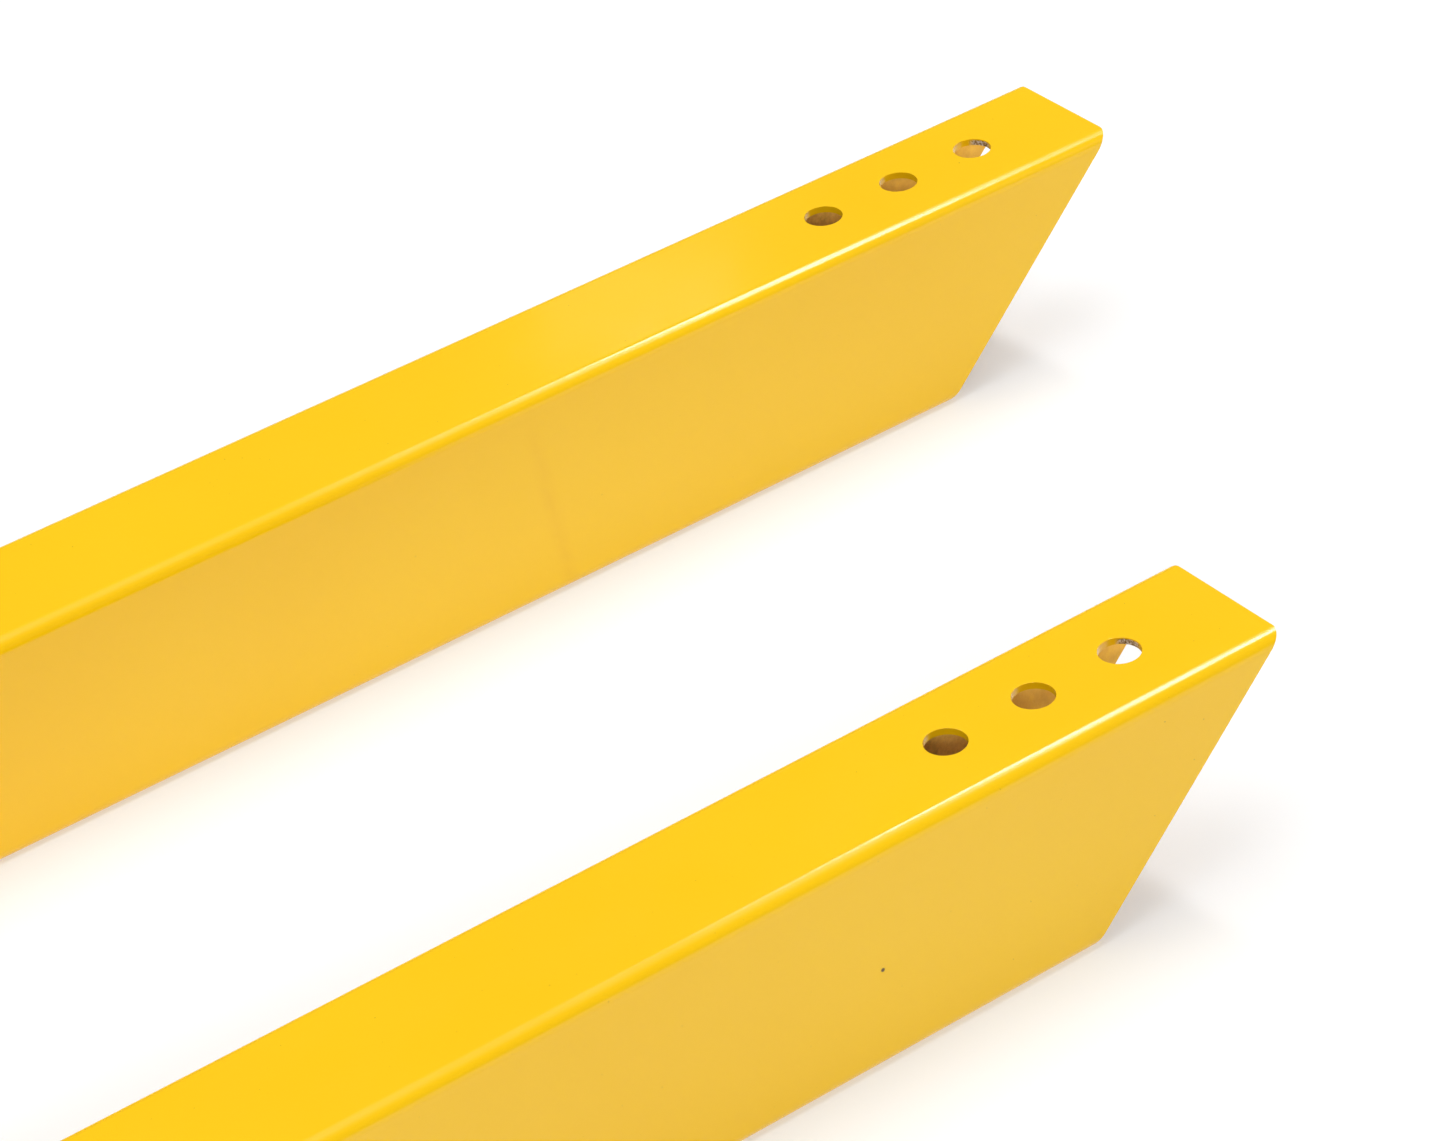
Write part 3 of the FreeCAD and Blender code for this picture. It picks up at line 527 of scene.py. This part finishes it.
def clamp_beads(side, y, half, flat_top):
    """Beads round the cheeks, the lip stop and the bridge."""
    stop_low, stop_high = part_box(f"{side}_lip_stop")
    bridge_low, bridge_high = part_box(f"{side}_clamp_bridge")
    trim, short = 4 * MM, 2 * MM
    beads = []
    for place, sign in (("inner", TOWARD[side]), ("outer", -TOWARD[side])):
        low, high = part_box(f"{side}_{place}_cheek")
        face_y, out = y + sign * half, Y * sign
        inward = -out
        beads += [
            line_bead((low.x, face_y, low.z), (high.x, face_y, low.z), out, -Z, WELD["cheek"], 0.1 + sign),
            line_bead((high.x, face_y, low.z), (high.x, face_y, flat_top), out, X, WELD["cheek"], 0.4),
            line_bead((low.x, face_y, low.z), (low.x, face_y, flat_top), out, -X, WELD["cheek"], 0.7),
            line_bead((stop_high.x, face_y, stop_low.z + trim), (stop_high.x, face_y, stop_high.z),
                      X, inward, WELD["stop"], 0.2),
        ]
        for level, up in ((bridge_high.z, Z), (bridge_low.z, -Z)):
            beads.append(line_bead((bridge_low.x + short, face_y, level),
                                   (bridge_high.x - short, face_y, level), inward, up, WELD["bridge"], 0.5))
    beads.append(line_bead((stop_high.x, y - half + trim, stop_low.z),
                           (stop_high.x, y + half - trim, stop_low.z), X, Z, WELD["stop_foot"], 0.3))
    return beads


def hexagon_bead(centre, corner_radius, level, radius, heading=0.0):
    """A bead around the foot of a hexagonal nut."""
    spots = []
    for corner in range(6):
        for part in (0.0, 0.5):
            angle = heading + math.radians(60 * (corner + part))
            out = Vector((math.cos(angle), math.sin(angle), 0))
            far = corner_radius * (1.0 if part == 0.0 else math.cos(math.radians(30)))
            stretch = 1.0 if part else 1.06
            spots.append((Vector((centre.x, centre.y, level)) + out * far, out * stretch, Z))
    return weld_bead(spots, radius, 0.9, closed=True)


def bracket_beads(side, face_y):
    """Beads round both ears, where they meet the tine."""
    low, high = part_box(f"{side}_bar_bracket")
    ear = 8 * MM
    out = Y * TOWARD[side]
    beads = []
    for level, up, start, stop in ((high.z, Z, high.z - ear, high.z), (low.z, -Z, low.z, low.z + ear)):
        beads.append(line_bead((low.x, face_y, level), (high.x, face_y, level), out, up, WELD["ear"], 0.3))
        for x, along in ((low.x, -X), (high.x, X)):
            beads.append(line_bead((x, face_y, start), (x, face_y, stop), out, along, WELD["ear_end"], 0.8))
    return beads


def cap_bead(low, high, y, half):
    """A bead over the seam between a tine's wall and its rear cap."""
    middle = Vector((low.x, y, (low.z + high.z) / 2))
    outline = rounded_loop(low.x, y, low.z + TUBE_WALL, high.z - TUBE_WALL, half - TUBE_WALL,
                           TUBE_CORNER - TUBE_WALL)
    spots = [(point, (middle - point).normalized(), -X) for point in outline]
    return weld_bead(spots, WELD["cap"], 0.6, closed=True, sweep=OVER_SEAM)


def fork_welds(side):
    """The welds that hold one fork's clamp, bracket and cap together."""
    low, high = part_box(f"{side}_tine_tube")
    y, half = (low.y + high.y) / 2, (high.y - low.y) / 2
    nut_low, nut_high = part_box(f"{side}_clamp_nut")
    beads = clamp_beads(side, y, half, high.z - TUBE_CORNER)
    beads.append(hexagon_bead((nut_low + nut_high) / 2, (nut_high.x - nut_low.x) / 2, nut_low.z, WELD["nut"]))
    beads += bracket_beads(side, y + TOWARD[side] * half)
    beads.append(cap_bead(low, high, y, half))
    joined(f"{side}_fork_welds", beads, f"{side}_fork")


BAR_START, BAR_CAP, LOCKS_AT, LOCK_FLATS = 26 * MM, 5 * MM, (88 * MM, 120 * MM), 17 * MM
EYE_HALF_WIDTH, EYE_HALF_THICKNESS, BAR_CORNER, CORNER_SPOTS = 15 * MM, 6 * MM, 3.5 * MM, 4


def bar_frame():
    """The bar's far pin, its unit direction and its length between pins."""
    ends = [sum(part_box(f"{side}_bar_pin"), Vector()) / 2 for side in SIDES]
    middle = sum(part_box("bar_sleeve"), Vector()) / 2
    run = ends[1] - ends[0]
    run.z = 0
    return Vector((ends[0].x, ends[0].y, middle.z)), run.normalized(), run.length


def seam_spots(centre, along, half):
    """Spots round a square tube's outline, for a bead over the seam with its end plate."""
    across = Z.cross(along)
    spots = []
    for turn, (side, level) in enumerate(((1, 1), (-1, 1), (-1, -1), (1, -1))):
        middle = centre + across * side * (half - BAR_CORNER) + Z * level * (half - BAR_CORNER)
        for step in range(CORNER_SPOTS + 1):
            angle = math.pi / 2 * (turn + step / CORNER_SPOTS)
            out = across * math.cos(angle) + Z * math.sin(angle)
            spots.append((middle + out * BAR_CORNER, along, out))
    return spots


def eye_beads(plate, outward):
    """Beads where an eye's flat arm meets its end plate; outward points from the plate to the eye."""
    across = Z.cross(outward)
    wide, thick = EYE_HALF_WIDTH, EYE_HALF_THICKNESS
    beads = []
    for up in (Z, -Z):
        edge = plate + up * thick
        beads.append(line_bead(edge - across * wide, edge + across * wide, outward, up, WELD["eye"], 0.2))
    for way in (across, -across):
        edge = plate + way * wide
        beads.append(line_bead(edge - Z * thick, edge + Z * thick, outward, way, WELD["eye"], 0.6))
    return beads


def bar_welds():
    """Beads over the bar's end seams, at its eyes and round its lock nuts."""
    start, along, length = bar_frame()
    heading = math.atan2(along.y, along.x)
    sleeve_low, sleeve_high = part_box("bar_sleeve")
    slider_low, slider_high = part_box("bar_slider")
    seam = seam_spots(start + along * BAR_START, along, (sleeve_high.z - sleeve_low.z) / 2)
    beads = [weld_bead(seam, WELD["sleeve_seam"], 0.3, closed=True, sweep=OVER_SEAM)]
    beads += eye_beads(start + along * (BAR_START - BAR_CAP), -along)
    for place in LOCKS_AT:
        foot = start + along * place
        beads.append(hexagon_bead(foot, LOCK_FLATS / math.sqrt(3), sleeve_high.z, WELD["lock_nut"], heading))
    joined("sleeve_welds", beads, "bar_outer", SLOTS["sleeve_cap"])
    far_end = start + along * (length - BAR_START)
    seam = seam_spots(far_end, -along, (slider_high.z - slider_low.z) / 2)
    beads = [weld_bead(seam, WELD["slider_seam"], 0.5, closed=True, sweep=OVER_SEAM)]
    beads += eye_beads(far_end + along * BAR_CAP, along)
    joined("slider_welds", beads, "bar_inner", SLOTS["slider_cap"])


# ---------------------------------------------------------------- threads

THREAD_AROUND, THREAD_PER_PITCH = 72, 14
AROUND = [2 * math.pi * step / THREAD_AROUND for step in range(THREAD_AROUND)]
ROOT_SHARE, FLANK_SHARE = 0.12, 0.70

BOLT_RADIUS, BOLT_THREAD, BOLT_PITCH = 5 * MM, 0.95 * MM, 1.5 * MM
BOLT_POINT, BOLT_TAPER, BOLT_HEAD, BOLT_BEVEL = 2.8 * MM, 1 * MM, 6.4 * MM, 1.1 * MM
BOLT_FADE, BOLT_RELIEF = 1 * MM, 0.6 * MM

SCREW_RADIUS, SCREW_THREAD, SCREW_PITCH = 12 * MM, 1.6 * MM, 3 * MM
SCREW_FADE, SCREW_RELIEF, SCREW_HEAD, HEAD_BEVEL = 1.5 * MM, 3 * MM, 32 * MM, 3 * MM
SPIGOT_RADIUS, SPIGOT_LENGTH, SPIGOT_EDGE = 9 * MM, 19.5 * MM, 0.8 * MM
GROOVE_Z, GROOVE_DEPTH = 118.2 * MM + 5.5 * MM, 1.6 * MM
TEE_HOLE_RADIUS = 6.7 * MM


def ring_at(axis, z, radius):
    """A ring about a vertical axis; radius is a number, or a function of the angle."""
    reach = radius if callable(radius) else (lambda angle: radius)
    return [Vector((axis.x + reach(a) * math.cos(a), axis.y + reach(a) * math.sin(a), z)) for a in AROUND]


def thread_rings(axis, low, high, radius, depth, pitch, fade_over, relief):
    """A helical thread that fades out at its foot and before a relief under the head."""
    rings = []
    count = round((high - low) / (pitch / THREAD_PER_PITCH))
    for step in range(count + 1):
        z = low + (high - low) * step / count
        fade = max(0.0, min(1.0, (z - low) / fade_over, (high - relief - z) / fade_over))

        def reach(angle):
            wave = abs(((z / pitch - angle / (2 * math.pi)) % 1.0) * 2 - 1)
            crest = min(1.0, max(0.0, (wave - ROOT_SHARE) / FLANK_SHARE))
            return radius - depth + depth * crest * fade
        rings.append(ring_at(axis, z, reach))
    return rings


def hexagon(flats, heading, limit):
    """A hexagon's radius by angle, cut off at a limit."""
    def reach(angle):
        turned = (angle - heading) % (math.pi / 3) - math.pi / 6
        return min(flats / 2 / math.cos(turned), limit)
    return reach


def build_lock_bolts():
    """The two lock bolts with their threads and chamfered hexagon heads."""
    start, along, _ = bar_frame()
    heading = math.atan2(along.y, along.x)
    low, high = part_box("bar_lock_bolts")
    head_low, foot = high.z - BOLT_HEAD, low.z + BOLT_TAPER
    corner, bevel = LOCK_FLATS / math.sqrt(3), BOLT_BEVEL
    bolts = []
    for place in LOCKS_AT:
        axis = start + along * place
        rings = [ring_at(axis, low.z, BOLT_POINT), ring_at(axis, foot, BOLT_RADIUS - BOLT_THREAD)]
        rings += thread_rings(axis, foot, head_low, BOLT_RADIUS, BOLT_THREAD, BOLT_PITCH,
                              BOLT_FADE, BOLT_RELIEF)
        rings += [ring_at(axis, z, hexagon(LOCK_FLATS, heading, limit)) for z, limit in (
            (head_low, corner - bevel), (head_low + 0.5 * bevel, corner), (high.z - 0.6 * bevel, corner),
            (high.z - 0.25 * bevel, corner - 0.8 * bevel), (high.z, LOCK_FLATS / 2 - 0.3 * MM))]
        bolts.append(from_rings("bolt", rings, None))
    piece = joined("lock_bolts", bolts, "bar_outer", SLOTS["bar_lock_bolts"])
    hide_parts("bar_lock_bolts")


def tee_drill(side, length):
    """A drill along the tee bar, through the screw's head."""
    low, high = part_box(f"{side}_tee_bar")
    middle, across = (low + high) / 2, high - low
    heading = Vector((-TOWARD[side] * across.x, across.y, 0)).normalized()
    side_way = heading.cross(Z)
    rings = [[middle + heading * run + (side_way * math.cos(a) + Z * math.sin(a)) * TEE_HOLE_RADIUS
              for a in AROUND] for run in (-length, length)]
    return from_rings("drill", rings, None)


def build_screw(side):
    """The clamp screw with its real helical thread, relief, turned head and cross hole."""
    low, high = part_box(f"{side}_clamp_screw")
    axis = Vector(((low.x + high.x) / 2, (low.y + high.y) / 2, 0))
    head_radius, head_low, bevel = (high.x - low.x) / 2, high.z - SCREW_HEAD, HEAD_BEVEL
    shank_low, spigot, groove, dip = low.z + SPIGOT_LENGTH, SPIGOT_RADIUS, GROOVE_Z, GROOVE_DEPTH
    rings = [ring_at(axis, z, radius) for radius, z in (
        (spigot - SPIGOT_EDGE, low.z), (spigot, low.z + SPIGOT_EDGE),
        (spigot, groove - dip), (spigot - dip, groove - dip),
        (spigot - dip, groove + dip), (spigot, groove + dip), (spigot, shank_low))]
    rings += thread_rings(axis, shank_low, head_low, SCREW_RADIUS, SCREW_THREAD, SCREW_PITCH,
                          SCREW_FADE, SCREW_RELIEF)
    rings += [ring_at(axis, z, radius) for radius, z in (
        (head_radius - bevel, head_low), (head_radius - 0.4 * bevel, head_low + 0.25 * bevel),
        (head_radius, head_low + bevel), (head_radius, high.z - bevel),
        (head_radius - 0.4 * bevel, high.z - 0.25 * bevel), (head_radius - bevel, high.z))]
    screw = from_rings(f"{side}_screw", rings, FINISHES["black_oxide_steel"])
    subtract(screw, tee_drill(side, 2 * head_radius))
    screw.data.materials.clear()
    screw.data.materials.append(FINISHES["black_oxide_steel"])
    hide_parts(f"{side}_clamp_screw")
    finish_piece(screw, f"{side}_screw")


# ---------------------------------------------------------------- carried-over parts

# Edge radius in millimetres, by part of a node's name.
SOFTENING = {"cheek": 0.9, "rear_cap": 0.6, "lip_stop": 0.8, "clamp_bridge": 1.2, "clamp_nut": 0.8,
             "bar_bracket": 0.8, "tee_bar": 0.8, "pressure_pad": 0.4, "sleeve": 0.5, "slider": 0.5,
             "lock_nuts": 0.6, "lock_bolts": 0.6}


def finish_nodes():
    """Give every CAD node its finish, and slightly rounded edges to those named in SOFTENING."""
    for name, piece in frame["nodes"].items():
        piece.data.materials.clear()
        piece.data.materials.append(FINISHES[SLOTS[name]])
        width = next((size for part, size in SOFTENING.items() if part in name), None)
        if width:
            soften(piece, width * MM)


# ---------------------------------------------------------------- studio

FLOOR_REACH, FLOOR_GLOW = 12.0, 0.31
LENS, SENSOR_WIDTH, CLIP_NEAR, CLIP_FAR = 116.33, 36.0, 0.05, 100.0
CAMERA_OFFSET = Vector((-0.85659, -1.14204, 0.78056))
CAMERA_FORWARD, CAMERA_UP = Vector((0.43197, 0.70909, -0.55731)), Vector((0.39752, 0.40498, 0.82339))


def build_floor(level):
    """A pale matt floor that glows a little, so that it stays near white."""
    material, tree, shader = new_material("pale_floor")
    where = add(tree, "ShaderNodeTexCoord").outputs["Object"]
    tone = blend_colours(tree, noise(tree, where, 3.0), (0.625, 0.635, 0.65), (0.645, 0.655, 0.67))
    tree.links.new(tone, shader.inputs["Base Color"])
    shader.inputs["Roughness"].default_value = 0.9
    shader.inputs["Specular IOR Level"].default_value = 0.1
    shader.inputs["Emission Color"].default_value = (1.0, 1.0, 1.0, 1.0)
    shader.inputs["Emission Strength"].default_value = FLOOR_GLOW
    corners = [(x * FLOOR_REACH, y * FLOOR_REACH, level) for x, y in ((-1, -1), (1, -1), (1, 1), (-1, 1))]
    mesh = bpy.data.meshes.new("floor")
    mesh.from_pydata(corners, [], [(0, 1, 2, 3)])
    link("floor", mesh, material)


def build_world():
    """Studio surround: pale at the horizon, dark part of the way up, softly lit overhead."""
    world = bpy.data.worlds.new("studio")
    bpy.context.scene.world = world
    world.use_nodes = True
    tree = world.node_tree
    where = add(tree, "ShaderNodeTexCoord").outputs["Generated"]
    height = add(tree, "ShaderNodeSeparateXYZ", {"Vector": where}).outputs["Z"]
    shade = ramp(tree, height, [(0.0, grey(0.40)), (0.06, grey(0.16)), (0.40, grey(0.12)),
                                (0.75, grey(0.18)), (0.95, grey(0.75))])
    backdrop = tree.nodes["Background"]
    tree.links.new(shade, backdrop.inputs["Color"])
    backdrop.inputs["Strength"].default_value = 1.0


def area_light(name, place, aim, size, power):
    """A rectangular light, aimed at a point; sizes are in metres and power in watts."""
    light = bpy.data.lights.new(name, "AREA")
    light.shape, light.size, light.size_y = "RECTANGLE", *size
    light.energy = power
    lamp = bpy.data.objects.new(name, light)
    lamp.location = place
    lamp.rotation_mode = "QUATERNION"
    lamp.rotation_quaternion = (Vector(aim) - Vector(place)).to_track_quat("-Z", "Y")
    bpy.context.scene.collection.objects.link(lamp)


def build_lights(tip):
    """Overhead strip for the highlight along the front edges, a key for the sides, and soft fills."""
    area_light("overhead_strip", tip + Vector((0.95, 0.14, 1.99)), tip, (1.45, 0.2), 20.0)
    area_light("front_key", (-1.45, -2.60, 1.86), (0.2, 0.0, 0.0), (0.9, 0.35), 46.0)
    area_light("peel_glint", (1.848, 2.500, 1.701), (0.4414, 0.1292, 0.0762), (0.20, 0.10), 0.09)
    area_light("tip_fill", (2.0, -0.9, 0.8), (0.6, 0.0, 0.0), (0.8, 0.5), 6.0)
    area_light("back_fill", (-0.9, 3.6, 1.1), (0.0, 0.0, 0.0), (2.4, 0.4), 30.0)
    area_light("top_soft", (-0.6, 0.6, 3.4), (-0.6, 0.6, 0.0), (3.4, 3.5), 62.0)


def build_camera(tip):
    """A long lens above and beside the tips; its offset is from the far tine's tip, top and centre."""
    data = bpy.data.cameras.new("camera")
    data.lens, data.sensor_width = LENS, SENSOR_WIDTH
    camera = bpy.data.objects.new("camera", data)
    bpy.context.scene.collection.objects.link(camera)
    forward = CAMERA_FORWARD.normalized()
    right = forward.cross(CAMERA_UP).normalized()
    turn = Matrix((right, right.cross(forward), -forward)).transposed()
    camera.matrix_world = Matrix.Translation(tip + CAMERA_OFFSET) @ turn.to_4x4()
    data.clip_start, data.clip_end = CLIP_NEAR, CLIP_FAR
    bpy.context.scene.camera = camera


# ---------------------------------------------------------------- the scene

for side in SIDES:
    build_tine(side)
    fork_welds(side)
    build_screw(side)
bar_welds()
build_lock_bolts()
finish_nodes()

far_low, far_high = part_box("far_tine_tube")
far_tip = Vector((far_high.x, (far_low.y + far_high.y) / 2, far_high.z))
build_camera(far_tip)
build_floor(cad_low.z)
build_world()
build_lights(far_tip)
bpy.context.scene.view_settings.view_transform = "Standard"
